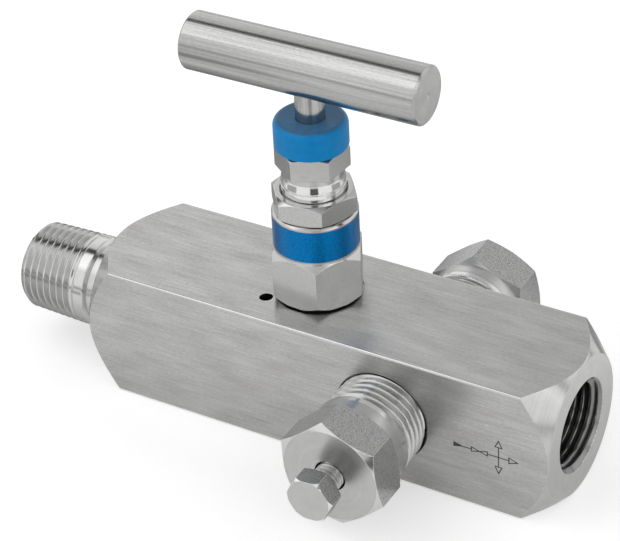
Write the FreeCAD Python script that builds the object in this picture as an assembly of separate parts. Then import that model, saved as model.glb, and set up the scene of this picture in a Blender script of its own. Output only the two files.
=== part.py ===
import FreeCAD, Part
import math
import os

os.makedirs("parts", exist_ok=True)

V = FreeCAD.Vector
TAN30 = math.tan(math.radians(30))
COS30 = math.cos(math.radians(30))

# Frame: X runs along the bar towards the outlet, Z is up, -Y is the front.
# The origin is on the bar's bottom face, under the axis of the bonnet and the stem. Millimetres.

# Bar
bar_size = 32.0             # side of the square bar
bar_inlet_len = 51.2        # stem axis to the inlet end face
bar_outlet_len = 62.8       # stem axis to the outlet end face
bar_edge_r = 0.6            # rounding of the four long edges
bar_end_inset = 0.1         # how far the turned end circle stays inside the flats

# Half-inch taper pipe threads, drawn as smooth walls
outlet_port_r = 10.5        # wall of the outlet port
outlet_mouth_chamfer = 0.2
side_port_r = 10.67         # wall of the side ports
side_mouth_chamfer = 0.35
pipe_male_r = 10.35         # middle crest radius of the male thread
pipe_drill_r = 9.2          # drill that goes before the tap
pipe_taper = 1 / 32         # growth of the radius along a taper thread
pipe_length = 18.1          # male thread with its plain band
pipe_end_chamfer = 0.7
thread_gap = 0.03           # between screwed pieces that stay together

# Inlet
neck_r = 9.7                # relief between the male thread and the bar
neck_length = 5.8
inlet_bore_r = 4.0
inlet_bore_depth = 57.0     # from the tip of the male thread
cross_bore_r = 2.7          # narrow end of the inlet bore, under the seat
cross_bore_past = 3.4       # how far it runs past the stem's axis

# Outlet and side ports
outlet_thread_depth = 17.0
outlet_drill_extra = 3.0
side_port_x = 23.6
side_thread_depth = 10.8
side_web = 7.0              # bar left between the two side ports
flow_bore_r = 4.0
flow_bore_lead = 11.6       # flow bore start, back from the side ports' axis
passage_r = 2.2             # sloping drilling from the valve chamber

# Seat and chamber under the bonnet
seat_web = 3.0              # metal between the cross bore and the chamber floor
orifice_r = 2.4             # seat hole
seat_chamfer = 0.6
chamber_r = 5.6
chamber_height = 3.5
spotface_r = 9.8
spotface_depth = 0.25

# Bonnet
bonnet_thread_r = 8.0
foot_r = 9.0
foot_height = 0.75
bonnet_hex = 19.0           # across flats
bonnet_hex_turn = -2.0      # degrees, a corner from +X
bonnet_hex_underside_r = 9.6
bonnet_hex_edge = 8.8       # length of the hexagon's corners
collar_r = 9.4
collar_length = 9.05
collar_chamfer = 0.45
band_width = 8.1
band_thickness = 0.25
band_offset = 0.4           # band above the hexagon's top chamfer
stuffing_r = 5.5
stuffing_depth = 11.0
back_seat_height = 2.0

# Bonnet lock pin, drilled sloping from beside the hexagon into the bonnet's thread
lock_pin_r = 1.35
lock_pin_x = -8.6
lock_pin_y = -8.1
lock_pin_slope = 28.0       # degrees from vertical
lock_pin_hole_depth = 6.5
lock_pin_sunk = 1.8         # head of the pin below the face

# Packing
packing_height = 3.0
packing_vee = 0.6
support_height = 1.5
gland_height = 3.0
gland_skirt = 0.8
gland_flange_r = 6.8

# Packing nut and its lock nut
nut_thread_r = 7.0
lock_nut_hex = 17.0
lock_nut_turn = 9.0
lock_nut_height = 4.9
lock_nut_face_r = 8.4
lock_nut_mouth_r = 7.7
packing_hex = 14.0
packing_hex_turn = 25.3
packing_hex_edge = 4.6
packing_hex_face_r = 6.9
packing_neck_r = 6.75
packing_neck_length = 1.5
packing_flare_length = 1.8
packing_groove_length = 0.4
packing_groove_r = 6.7
packing_flange_length = 1.4
packing_gap = 0.4           # flange above the lock nut
spigot_r = 5.6
spigot_height = 4.5

# Dust cap
cap_r = 8.0
cap_height = 6.45
cap_round = 1.6
cap_foot_round = 0.4
cap_roof = 1.9

# Stem and its tip
stem_r = 3.17
stem_low_r = 3.0
stem_thread_r = 3.97
stem_thread_length = 9.5
stem_pitch = 1.0583         # 24 turns to the inch
stem_turns = 4.5            # from closed to open
tip_r = 3.6
tip_nose_r = 2.0
tip_height = 5.0            # above the cone
swivel_head_r = 2.2
swivel_head_height = 2.2
swivel_neck_r = 1.5
swivel_neck_height = 1.4

# Handle
handle_r = 6.37
handle_length = 55.4
handle_turn = 0.75          # degrees off the bar's axis when closed
handle_above_cap = 5.5      # gap between the cap and the handle
handle_end_chamfer = 0.45
handle_hole_past_axis = 3.0
centre_mark_r = 0.7
set_screw_r = 2.0
set_screw_tip_r = 1.4
set_screw_bite = 0.35
set_screw_sunk = 0.35
set_screw_key = 2.0

# Side plugs
plug_engaged = 10.2         # thread inside the bar
plug_exposed = 10.0         # thread outside the bar
plug_collar_r = 11.0
plug_collar_length = 2.9
plug_hex = 22.2
plug_hex_height = 9.5
bleed_plug_turn = 38.8
blank_plug_turn = 36.3
plug_end_chamfer = 0.6

# Bleed screw and ball
bleed_thread_r = 3.17
bleed_hex = 9.525
bleed_hex_turn = 3.9
bleed_hex_height = 4.6
bleed_hex_stand = 4.4       # shank seen between the plug and the hexagon
bleed_pitch = 0.907         # 28 turns to the inch
bleed_turns = 3.0
bleed_mouth_r = 3.35
bleed_mouth_depth = 1.5
bleed_passage_r = 1.5
bleed_ball_r = 2.2
bleed_seat_depth = 19.4     # seat's small edge below the plug's front face

# Fits
run_gap = 0.05              # a shaft that turns or slides in its hole
touch_gap = 0.03            # faces that close on each other
push_gap = 0.02             # pieces pushed together for good

# Heights that follow from the sizes above
axis_z = bar_size / 2
chamber_floor = axis_z + cross_bore_r + seat_web
shoulder_z = chamber_floor + chamber_height
spotface_z = bar_size - spotface_depth
hex_under_z = spotface_z + foot_height
bonnet_corner_r = bonnet_hex / 2 / COS30
hex_low_corner_z = hex_under_z + bonnet_corner_r - bonnet_hex_underside_r
hex_high_corner_z = hex_low_corner_z + bonnet_hex_edge
collar_z = hex_high_corner_z + bonnet_corner_r - collar_r
bonnet_top_z = collar_z + collar_length
lock_nut_top_z = bonnet_top_z + lock_nut_height
flange_z = lock_nut_top_z + packing_gap
groove_z = flange_z + packing_flange_length
flare_z = groove_z + packing_groove_length
neck_z = flare_z + packing_flare_length
packing_hex_z = neck_z + packing_neck_length
packing_corner_r = packing_hex / 2 / COS30
packing_top_z = packing_hex_z + packing_hex_edge + (packing_corner_r - packing_hex_face_r) * TAN30
cap_bottom_z = packing_top_z + push_gap
cap_top_z = cap_bottom_z + cap_height
handle_z = cap_top_z + handle_above_cap + handle_r

# Stem stack
stem_lift = stem_pitch * stem_turns
seat_low_z = chamber_floor - seat_chamfer
tip_nose_z = seat_low_z + tip_nose_r - orifice_r + touch_gap * math.sqrt(2)
tip_cone_z = tip_nose_z + tip_r - tip_nose_r
tip_top_z = tip_cone_z + tip_height
back_seat_z = tip_top_z + stem_lift + 0.25
stuffing_z = back_seat_z + back_seat_height
nut_bore_z = stuffing_z + stuffing_depth
packing_z = stuffing_z + support_height
gland_z = packing_z + 3 * packing_height
gland_top_z = gland_z + gland_height
stem_thread_z = gland_top_z + 1.5
stem_bore_top_z = stem_thread_z + stem_thread_length + stem_lift + 0.6

# Side plugs, measured outwards from the bar's middle
plug_inner = bar_size / 2 - plug_engaged
plug_collar = bar_size / 2 + plug_exposed
plug_under = plug_collar + plug_collar_length
plug_face = plug_under + plug_hex_height
bleed_seat = plug_face - bleed_seat_depth
ball_centre = bleed_seat - bleed_passage_r + (bleed_ball_r + touch_gap) * math.sqrt(2)
bleed_hex_under = plug_face + bleed_hex_stand
inlet_tip_x = -bar_inlet_len - neck_length - pipe_length


def turned(profile):
    """A solid of revolution round Z from (radius, height) points."""
    points = [V(r, 0, z) for r, z in profile]
    face = Part.Face(Part.makePolygon(points + points[:1]))
    return face.revolve(V(0, 0, 0), V(0, 0, 1), 360)


def rod(radius, low, high):
    return Part.makeCylinder(radius, high - low, V(0, 0, low))


def hexagon(across, low, high, turn=0.0):
    """A hexagonal prism on Z, with a corner `turn` degrees from X."""
    corner = across / 2 / COS30
    angles = [math.radians(turn + 60 * i) for i in range(7)]
    points = [V(corner * math.cos(a), corner * math.sin(a), low) for a in angles]
    return Part.Face(Part.makePolygon(points)).extrude(V(0, 0, high - low))


def turned_hexagon(across, low, high, turn, low_r, low_slope, high_r, high_slope):
    """A hexagonal prism whose corners are turned back to low_r and high_r at its ends."""
    reach = across / 2 / COS30 + 1
    prism = hexagon(across, low, high, turn)
    envelope = turned([
        (0, low), (low_r, low), (reach, low + (reach - low_r) * low_slope),
        (reach, high - (reach - high_r) * high_slope), (high_r, high), (0, high),
    ])
    return prism.common(envelope)


def aimed(shape, direction, origin=(0, 0, 0)):
    """Turns a shape made on Z to point along direction and moves it to origin."""
    turn = FreeCAD.Rotation(V(0, 0, 1), V(*direction))
    placed = shape.copy()
    placed.Placement = FreeCAD.Placement(V(*origin), turn)
    return placed


def one_solid(shape):
    """The cleaned single solid of a shape."""
    clean = shape.removeSplitter()
    return clean.Solids[0] if len(clean.Solids) == 1 else clean


def save(name, shape):
    one_solid(shape).exportStep("parts/" + name + ".step")


def tapped_port(face, wall_r, mouth, thread_depth, drill_depth, tip_r):
    """Cutter for a pipe port: it points along Z and its mouth is at height `face`."""
    bottom = face - drill_depth
    cone = max(pipe_drill_r - tip_r, 0) * TAN30
    return turned([
        (0, bottom - cone), (tip_r, bottom - cone), (pipe_drill_r, bottom),
        (pipe_drill_r, face - thread_depth), (wall_r, face - thread_depth),
        (wall_r, face - mouth), (wall_r + mouth, face), (wall_r + mouth, face + 1), (0, face + 1),
    ])


def lock_pin_rod(radius, start, end):
    """A rod on the sloping axis of the lock pin, from depth start to depth end."""
    reach = math.hypot(lock_pin_x, lock_pin_y)
    sink = math.radians(lock_pin_slope)
    inward = V(-lock_pin_x / reach * math.sin(sink), -lock_pin_y / reach * math.sin(sink), -math.cos(sink))
    mouth = V(lock_pin_x, lock_pin_y, bar_size)
    return Part.makeCylinder(radius, end - start, mouth + inward * start, inward)


def bar_blank():
    """The square bar with rounded long edges and turned chamfers at both ends."""
    half = bar_size / 2
    length = bar_inlet_len + bar_outlet_len
    box = Part.makeBox(length, bar_size, bar_size, V(-bar_inlet_len, -half, 0))
    long_edges = [e for e in box.Edges if abs(e.Length - length) < 1e-6]
    box = box.makeFillet(bar_edge_r, long_edges)
    end_r = half - bar_end_inset
    reach = half * math.sqrt(2) + 1
    slope = reach - end_r
    envelope = turned([
        (0, -bar_inlet_len), (end_r, -bar_inlet_len), (reach, -bar_inlet_len + slope),
        (reach, bar_outlet_len - slope), (end_r, bar_outlet_len), (0, bar_outlet_len),
    ])
    return box.common(aimed(envelope, (1, 0, 0), (0, 0, axis_z)))


def inlet_stub():
    """The male thread envelope and its neck, with X as its axis."""
    tip = inlet_tip_x
    band = -bar_inlet_len - neck_length
    profile = [
        (0, tip), (pipe_male_r - pipe_end_chamfer, tip), (pipe_male_r, tip + pipe_end_chamfer),
        (pipe_male_r, band), (neck_r, band + pipe_male_r - neck_r),
        (neck_r, -bar_inlet_len + 1), (0, -bar_inlet_len + 1),
    ]
    return aimed(turned(profile), (1, 0, 0), (0, 0, axis_z))


def flow_bores():
    """Inlet bore, cross bore, seat, outlet bore and the sloping passage, as a list of cutters."""
    bore_end = inlet_tip_x + inlet_bore_depth
    inlet = aimed(rod(inlet_bore_r, inlet_tip_x - 1, bore_end), (1, 0, 0), (0, 0, axis_z))
    cross = aimed(rod(cross_bore_r, bore_end - 1, cross_bore_past), (1, 0, 0), (0, 0, axis_z))
    riser = turned([
        (0, axis_z), (orifice_r, axis_z), (orifice_r, seat_low_z),
        (orifice_r + seat_chamfer, chamber_floor), (orifice_r + seat_chamfer, chamber_floor + 1),
        (0, chamber_floor + 1),
    ])
    start = side_port_x - flow_bore_lead
    outlet_end = bar_outlet_len - outlet_thread_depth
    outlet = aimed(rod(flow_bore_r, start, outlet_end), (1, 0, 0), (0, 0, axis_z))
    high = V(chamber_r - 0.5, 0, chamber_floor + 0.9)
    low = V(start + flow_bore_r, 0, axis_z)
    passage = Part.makeCylinder(passage_r, (low - high).Length, high, low - high)
    return [inlet, cross, riser, outlet, passage]


def valve_body():
    """Body: bar, male inlet, all ports and bores, spotface and lock pin hole."""
    bonnet_port = turned([
        (0, chamber_floor), (chamber_r, chamber_floor), (chamber_r, shoulder_z),
        (bonnet_thread_r + thread_gap, shoulder_z), (bonnet_thread_r + thread_gap, spotface_z),
        (spotface_r, spotface_z), (spotface_r, bar_size + 1), (0, bar_size + 1),
    ])
    outlet_port = tapped_port(
        bar_outlet_len, outlet_port_r, outlet_mouth_chamfer,
        outlet_thread_depth, outlet_thread_depth + outlet_drill_extra, flow_bore_r)
    side_port = tapped_port(
        bar_size / 2, side_port_r, side_mouth_chamfer,
        side_thread_depth, (bar_size - side_web) / 2, pipe_drill_r)
    cutters = [bonnet_port, lock_pin_rod(lock_pin_r, -1, lock_pin_hole_depth)]
    cutters.append(aimed(outlet_port, (1, 0, 0), (0, 0, axis_z)))
    for side in (-1, 1):
        cutters.append(aimed(side_port, (0, side, 0), (side_port_x, 0, axis_z)))
    body = bar_blank().fuse(inlet_stub())
    for cutter in cutters + flow_bores():
        body = body.cut(cutter)
    return body


def bonnet():
    """Screwed bonnet: shank, foot, hexagon, collar with the band's groove, and the bores."""
    high_slope = (collar_z - hex_high_corner_z) / (bonnet_corner_r - collar_r)
    head = turned_hexagon(
        bonnet_hex, hex_under_z, collar_z, bonnet_hex_turn,
        bonnet_hex_underside_r, 1.0, collar_r, high_slope)
    band_low = collar_z + band_offset
    groove_r = collar_r - band_thickness
    outside = turned([
        (0, shoulder_z), (bonnet_thread_r - 0.5, shoulder_z), (bonnet_thread_r, shoulder_z + 0.5),
        (bonnet_thread_r, spotface_z), (foot_r, spotface_z), (foot_r, hex_under_z + 1),
        (collar_r, hex_under_z + 1), (collar_r, band_low), (groove_r, band_low),
        (groove_r, band_low + band_width), (collar_r, band_low + band_width),
        (collar_r, bonnet_top_z - collar_chamfer), (collar_r - collar_chamfer, bonnet_top_z),
        (0, bonnet_top_z),
    ])
    bores = turned([
        (0, shoulder_z - 1), (tip_r + run_gap, shoulder_z - 1), (tip_r + run_gap, back_seat_z),
        (stem_low_r + run_gap, back_seat_z), (stem_low_r + run_gap, stuffing_z),
        (stuffing_r, stuffing_z), (stuffing_r, nut_bore_z), (nut_thread_r + thread_gap, nut_bore_z),
        (nut_thread_r + thread_gap, bonnet_top_z + 1), (0, bonnet_top_z + 1),
    ])
    notch = lock_pin_rod(lock_pin_r, 0, lock_pin_hole_depth)
    return outside.fuse(head).cut(bores).cut(notch)


def label_band():
    """Thin coloured band in the collar's groove."""
    low = collar_z + band_offset + push_gap
    outer = collar_r - push_gap
    inner = collar_r - band_thickness
    high = low + band_width - 2 * push_gap
    return turned([(inner, low), (outer, low), (outer, high), (inner, high)])


def bonnet_lock_pin():
    return lock_pin_rod(lock_pin_r - push_gap, lock_pin_sunk, lock_pin_hole_depth)


def lock_nut():
    """Thin hexagon nut with turned faces and a countersunk mouth."""
    nut = turned_hexagon(
        lock_nut_hex, bonnet_top_z, lock_nut_top_z, lock_nut_turn,
        lock_nut_face_r, TAN30, lock_nut_face_r, TAN30)
    bore_r = nut_thread_r + thread_gap
    sink = lock_nut_mouth_r - bore_r
    bore = turned([
        (0, bonnet_top_z - 1), (bore_r, bonnet_top_z - 1), (bore_r, lock_nut_top_z - sink),
        (lock_nut_mouth_r, lock_nut_top_z), (lock_nut_mouth_r, lock_nut_top_z + 1),
        (0, lock_nut_top_z + 1),
    ])
    return nut.cut(bore)


def packing_nut():
    """Hollow gland bolt: outer thread, flange, flared neck, hexagon and cap spigot."""
    head = turned_hexagon(
        packing_hex, packing_hex_z, packing_top_z, packing_hex_turn,
        packing_corner_r, 0.0, packing_hex_face_r, TAN30)
    outside = turned([
        (0, gland_top_z), (nut_thread_r - 0.5, gland_top_z), (nut_thread_r, gland_top_z + 0.5),
        (nut_thread_r, groove_z), (packing_groove_r, groove_z), (packing_groove_r, flare_z),
        (nut_thread_r, flare_z), (packing_neck_r, neck_z), (packing_neck_r, packing_hex_z + 1),
        (spigot_r, packing_hex_z + 1), (spigot_r, packing_top_z + spigot_height),
        (0, packing_top_z + spigot_height),
    ])
    thread_bore_r = stem_thread_r + run_gap
    stem_bore_r = stem_r + run_gap
    bore = turned([
        (0, gland_top_z - 1), (thread_bore_r, gland_top_z - 1), (thread_bore_r, stem_bore_top_z),
        (stem_bore_r, stem_bore_top_z), (stem_bore_r, packing_top_z + spigot_height + 1),
        (0, packing_top_z + spigot_height + 1),
    ])
    return outside.fuse(head).cut(bore)


def dust_cap():
    """Rounded plastic cap that snaps over the packing nut's spigot."""
    outer = rod(cap_r, cap_bottom_z, cap_top_z)
    top_edge = [e for e in outer.Edges if abs(e.BoundBox.ZMin - cap_top_z) < 1e-6]
    foot_edge = [e for e in outer.Edges if abs(e.BoundBox.ZMax - cap_bottom_z) < 1e-6]
    outer = outer.makeFillet(cap_round, top_edge)
    foot_edge = [e for e in outer.Edges if abs(e.BoundBox.ZMax - cap_bottom_z) < 1e-6]
    outer = outer.makeFillet(cap_foot_round, foot_edge)
    stem_hole_r = stem_r + run_gap
    roof_z = max(cap_top_z - cap_roof, packing_top_z + spigot_height + push_gap)
    inside = turned([
        (0, cap_bottom_z - 1), (spigot_r + push_gap, cap_bottom_z - 1), (spigot_r + push_gap, roof_z),
        (stem_hole_r, roof_z), (stem_hole_r, cap_top_z + 1), (0, cap_top_z + 1),
    ])
    return outer.cut(inside)


def vee_ring(low, height, low_vee, high_vee):
    """A ring round the stem whose faces rise to a ridge of the given heights."""
    inner = stem_low_r + run_gap
    outer = stuffing_r - push_gap
    middle = (inner + outer) / 2
    return turned([
        (inner, low), (middle, low + low_vee), (outer, low),
        (outer, low + height), (middle, low + height + high_vee), (inner, low + height),
    ])


def packing_support():
    inner = stem_low_r + run_gap
    outer = stuffing_r - push_gap
    middle = (inner + outer) / 2
    top = stuffing_z + support_height
    return turned([
        (inner, stuffing_z), (outer, stuffing_z), (outer, top), (middle, top + packing_vee), (inner, top),
    ])


def packing_ring(place):
    """One of three nested chevron rings, counted from below."""
    return vee_ring(packing_z + place * packing_height, packing_height, packing_vee, packing_vee)


def gland_ring():
    """Flanged follower between the packing and the packing nut."""
    skirt = gland_z + gland_skirt + packing_vee
    ring = vee_ring(gland_z, skirt - gland_z, packing_vee, 0.0)
    flange_low = max(nut_bore_z + 0.2, skirt)
    inner = stem_low_r + run_gap
    outer = stuffing_r - push_gap
    upper = turned([
        (inner, skirt - 0.5), (outer, skirt - 0.5), (outer, flange_low), (gland_flange_r, flange_low),
        (gland_flange_r, gland_top_z), (inner, gland_top_z),
    ])
    return ring.fuse(upper)


def stem():
    """Stem: swivel head, polished lower shank, thread and upper shank up into the handle."""
    head_low = tip_top_z - swivel_neck_height - swivel_head_height
    head_high = tip_top_z - swivel_neck_height
    shoulder = tip_top_z + touch_gap
    thread_high = stem_thread_z + stem_thread_length
    top = handle_z + handle_hole_past_axis
    shaft = turned([
        (0, head_low), (swivel_head_r, head_low), (swivel_head_r, head_high),
        (swivel_neck_r, head_high), (swivel_neck_r, shoulder), (stem_low_r, shoulder),
        (stem_low_r, stem_thread_z), (stem_thread_r, stem_thread_z), (stem_thread_r, thread_high),
        (stem_r, thread_high), (stem_r, top - 0.5), (stem_r - 0.5, top), (0, top),
    ])
    bite = aimed(rod(set_screw_tip_r + push_gap, stem_r - set_screw_bite, stem_r + 1), (0, 1, 0), (0, 0, handle_z))
    return shaft.cut(bite)


def stem_tip():
    """Closing cone that hangs on the stem's swivel head and doesn't turn with it."""
    outside = turned([
        (0, tip_nose_z), (tip_nose_r, tip_nose_z), (tip_r, tip_cone_z), (tip_r, tip_top_z), (0, tip_top_z),
    ])
    head_low = tip_top_z - swivel_neck_height - swivel_head_height - touch_gap
    head_high = tip_top_z - swivel_neck_height + touch_gap
    socket = turned([
        (0, head_low), (swivel_head_r + run_gap, head_low), (swivel_head_r + run_gap, head_high),
        (swivel_neck_r + run_gap, head_high), (swivel_neck_r + run_gap, tip_top_z + 1), (0, tip_top_z + 1),
    ])
    return outside.cut(socket)


def handle_bar():
    """Round T bar with chamfered, centre-marked ends, the stem hole and the set screw hole."""
    half = handle_length / 2
    edge = handle_end_chamfer
    bar = turned([
        (0, -half + centre_mark_r), (centre_mark_r, -half), (handle_r - edge, -half), (handle_r, -half + edge),
        (handle_r, half - edge), (handle_r - edge, half), (centre_mark_r, half), (0, half - centre_mark_r),
    ])
    bar = aimed(bar, (1, 0, 0), (0, 0, handle_z))
    bar.rotate(V(0, 0, handle_z), V(0, 0, 1), handle_turn)
    stem_hole = rod(stem_r + push_gap, handle_z - handle_r - 1, handle_z + handle_hole_past_axis)
    screw_hole = aimed(rod(set_screw_r + push_gap, 0, handle_r + 1), (0, 1, 0), (0, 0, handle_z))
    return bar.cut(stem_hole).cut(screw_hole)


def handle_set_screw():
    """Socket set screw in the back of the handle, with its tip in the stem."""
    tip = stem_r - set_screw_bite
    low = stem_r + push_gap
    high = handle_r - set_screw_sunk
    screw = turned([
        (0, tip), (set_screw_tip_r, tip), (set_screw_tip_r, low), (set_screw_r, low + 0.2),
        (set_screw_r, high - 0.3), (set_screw_r - 0.3, high), (0, high),
    ])
    key = hexagon(set_screw_key, high - 1.5, high + 1)
    return aimed(screw.cut(key), (0, 1, 0), (0, 0, handle_z))


def plug_blank(turn):
    """A pipe plug on Z: taper thread envelope, collar and chamfered hexagon."""
    half = bar_size / 2
    root_r = side_port_r - thread_gap
    out_r = root_r + plug_exposed * pipe_taper
    shank = turned([
        (0, plug_inner), (root_r - plug_end_chamfer, plug_inner), (root_r, plug_inner + plug_end_chamfer),
        (root_r, half), (out_r, plug_collar), (plug_collar_r, plug_collar), (plug_collar_r, plug_under + 1),
        (0, plug_under + 1),
    ])
    head = turned_hexagon(
        plug_hex, plug_under, plug_face, turn, plug_collar_r, TAN30, plug_collar_r, TAN30)
    return shank.fuse(head)


def bleed_plug():
    """Front plug with the bleed passage, ball seat and screw bore."""
    wide_r = bleed_thread_r + run_gap
    bore = turned([
        (0, plug_inner - 1), (bleed_passage_r, plug_inner - 1), (bleed_passage_r, bleed_seat),
        (wide_r, bleed_seat + wide_r - bleed_passage_r), (wide_r, plug_face - bleed_mouth_depth),
        (bleed_mouth_r, plug_face - bleed_mouth_depth), (bleed_mouth_r, plug_face + 1), (0, plug_face + 1),
    ])
    plug = plug_blank(bleed_plug_turn).cut(bore)
    return aimed(plug, (0, -1, 0), (side_port_x, 0, axis_z))


def blank_plug():
    """Closed plug in the back port."""
    return aimed(plug_blank(-blank_plug_turn), (0, 1, 0), (side_port_x, 0, axis_z))


def bleed_screw():
    """Bleed screw: ball socket, thread envelope and small hexagon."""
    rim = ball_centre - 0.2 * bleed_ball_r
    rim_r = bleed_ball_r + 0.25
    step = bleed_thread_r - rim_r
    shank = turned([
        (0, rim), (rim_r, rim), (bleed_thread_r, rim + step), (bleed_thread_r, bleed_hex_under + 1),
        (0, bleed_hex_under + 1),
    ])
    face_r = bleed_hex / 2 * 1.02
    head = turned_hexagon(
        bleed_hex, bleed_hex_under, bleed_hex_under + bleed_hex_height, bleed_hex_turn,
        face_r, TAN30, face_r, TAN30)
    socket = Part.makeSphere(bleed_ball_r + touch_gap, V(0, 0, ball_centre))
    screw = shank.fuse(head).cut(socket)
    return aimed(screw, (0, -1, 0), (side_port_x, 0, axis_z))


def bleed_ball():
    """Ball held in the tip of the bleed screw."""
    return Part.makeSphere(bleed_ball_r, V(side_port_x, -ball_centre, axis_z))


def build():
    save("valve_body", valve_body())
    save("bonnet", bonnet())
    save("label_band", label_band())
    save("bonnet_lock_pin", bonnet_lock_pin())
    save("lock_nut", lock_nut())
    save("packing_nut", packing_nut())
    save("dust_cap", dust_cap())
    save("packing_support", packing_support())
    for place, name in enumerate(("lower", "middle", "upper")):
        save("packing_ring_" + name, packing_ring(place))
    save("gland_ring", gland_ring())
    save("stem", stem())
    save("stem_tip", stem_tip())
    save("handle_bar", handle_bar())
    save("handle_set_screw", handle_set_screw())
    save("bleed_plug", bleed_plug())
    save("bleed_screw", bleed_screw())
    save("bleed_ball", bleed_ball())
    save("blank_plug", blank_plug())


build()
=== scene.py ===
import math

import bmesh
import bpy
from mathutils import Euler, Matrix, Vector


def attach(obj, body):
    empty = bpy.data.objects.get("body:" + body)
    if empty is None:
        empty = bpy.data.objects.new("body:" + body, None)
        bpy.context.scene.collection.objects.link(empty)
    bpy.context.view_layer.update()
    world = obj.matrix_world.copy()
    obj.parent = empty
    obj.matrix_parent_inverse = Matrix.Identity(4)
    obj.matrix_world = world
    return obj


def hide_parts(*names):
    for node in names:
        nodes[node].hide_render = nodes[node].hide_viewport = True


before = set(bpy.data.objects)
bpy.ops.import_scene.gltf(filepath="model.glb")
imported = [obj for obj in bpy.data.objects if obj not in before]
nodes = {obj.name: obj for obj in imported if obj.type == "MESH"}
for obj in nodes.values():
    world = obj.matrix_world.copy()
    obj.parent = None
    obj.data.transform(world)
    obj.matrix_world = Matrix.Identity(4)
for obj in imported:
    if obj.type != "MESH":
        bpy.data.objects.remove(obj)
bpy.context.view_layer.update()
mm = 0.001


# Camera
# It stands in front of the valve and to its right, looks down on it at 35 degrees,
# and is turned a few degrees in its own plane, as in a hand-framed product shot.

view_azimuth = math.radians(31.6539)
view_elevation = math.radians(34.5499)
view_roll = math.radians(-3.1138)
view_from = Vector((238.762, -390.664, 351.942)) * mm
focal_pixels = 2571.16
picture_width = 620         # in the same pixels
sensor_width = 36.0

back = Vector((
    math.sin(view_azimuth) * math.cos(view_elevation),
    -math.cos(view_azimuth) * math.cos(view_elevation),
    math.sin(view_elevation),
))
level_right = (-back).cross(Vector((0, 0, 1))).normalized()
level_up = back.cross(level_right)
right = level_right * math.cos(view_roll) + level_up * math.sin(view_roll)
up = level_up * math.cos(view_roll) - level_right * math.sin(view_roll)
turn = Matrix((right, up, back)).transposed().to_4x4()

camera_data = bpy.data.cameras.new("camera")
camera_data.sensor_width = sensor_width
camera_data.lens = focal_pixels / picture_width * sensor_width
camera_data.clip_start = 0.01
camera_data.clip_end = 20
camera = bpy.data.objects.new("camera", camera_data)
bpy.context.scene.collection.objects.link(camera)
camera.matrix_world = Matrix.Translation(view_from) @ turn
bpy.context.scene.camera = camera
bpy.context.scene.view_settings.view_transform = "Standard"


# Studio
# A white sweep under the valve and a pale room round it, with one large soft box high on the left,
# a smaller one on the right, and a dark gap in the ceiling that draws the streaks on the turned parts.


def to_linear(colour):
    """Linear red, green, blue and alpha of an sRGB hex colour."""
    parts = [int(colour[i:i + 2], 16) / 255 for i in (1, 3, 5)]
    return [p / 12.92 if p <= 0.04045 else ((p + 0.055) / 1.055) ** 2.4 for p in parts] + [1.0]


def add(tree, kind, settings=None, inputs=None):
    """Adds one node with its settings, and fills its inputs with values, sockets or whole nodes."""
    node = tree.nodes.new(kind)
    for name, value in (settings or {}).items():
        setattr(node, name, value)
    for name, value in (inputs or {}).items():
        if isinstance(value, bpy.types.Node):
            value = next(socket for socket in value.outputs if socket.enabled)
        if isinstance(value, bpy.types.NodeSocket):
            tree.links.new(value, node.inputs[name])
        else:
            node.inputs[name].default_value = value
    return node


def new_material(name):
    """An empty material and its node tree."""
    material = bpy.data.materials.new(name)
    material.use_nodes = True
    material.node_tree.nodes.clear()
    return material, material.node_tree


def new_piece(name, mesh, *materials):
    """Links a finished mesh as an object at the origin, with its materials."""
    numbers = [face.material_index for face in mesh.polygons]
    mesh.materials.clear()
    for material in materials:
        mesh.materials.append(material)
    mesh.polygons.foreach_set("material_index", numbers)
    piece = bpy.data.objects.new(name, mesh)
    bpy.context.scene.collection.objects.link(piece)
    return piece


# What the studio's nodes are set to
smooth = {"interpolation_type": "SMOOTHSTEP"}
colours = {"data_type": "RGBA"}
plus = {"operation": "ADD"}
minus = {"operation": "SUBTRACT"}
multiply = {"operation": "MULTIPLY"}
larger = {"operation": "MAXIMUM"}
size_only = {"operation": "ABSOLUTE"}
dot_product = {"operation": "DOT_PRODUCT"}
vector_length = {"operation": "LENGTH"}

room = bpy.data.worlds.new("studio room")
bpy.context.scene.world = room
room.use_nodes = True
tree = room.node_tree
tree.nodes.clear()
direction = add(tree, "ShaderNodeTexCoord")
height = add(tree, "ShaderNodeSeparateXYZ", {}, {"Vector": direction.outputs["Generated"]})
level = add(tree, "ShaderNodeMapRange", smooth, {
    "Value": height.outputs["Z"], "From Min": 0.55, "From Max": 0.95, "To Min": 1.08, "To Max": 0.66})
# A gap between the ceiling panels, along the bar
across_gap = add(tree, "ShaderNodeVectorMath", dot_product, {
    0: direction.outputs["Generated"], 1: (0, 0.963, -0.27)})
from_gap = add(tree, "ShaderNodeMath", size_only, {0: across_gap})
gap = add(tree, "ShaderNodeMapRange", smooth, {
    "Value": from_gap, "From Min": 0.1, "From Max": 0.14, "To Min": 0.06, "To Max": 1.0})
overhead = add(tree, "ShaderNodeMapRange", smooth, {
    "Value": height.outputs["Z"], "From Min": 0.35, "From Max": 0.6})
gap_overhead = add(tree, "ShaderNodeMix", {}, {0: overhead, 2: 1.0, 3: gap})
# A darker patch high on the far wall, on the camera's right
behind = add(tree, "ShaderNodeVectorMath", dot_product, {
    0: direction.outputs["Generated"], 1: (-0.07, 0.806, 0.588)})
shade = add(tree, "ShaderNodeMapRange", smooth, {
    "Value": behind, "From Min": 0.9, "From Max": 0.955, "To Min": 1.0, "To Max": 0.64})
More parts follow.
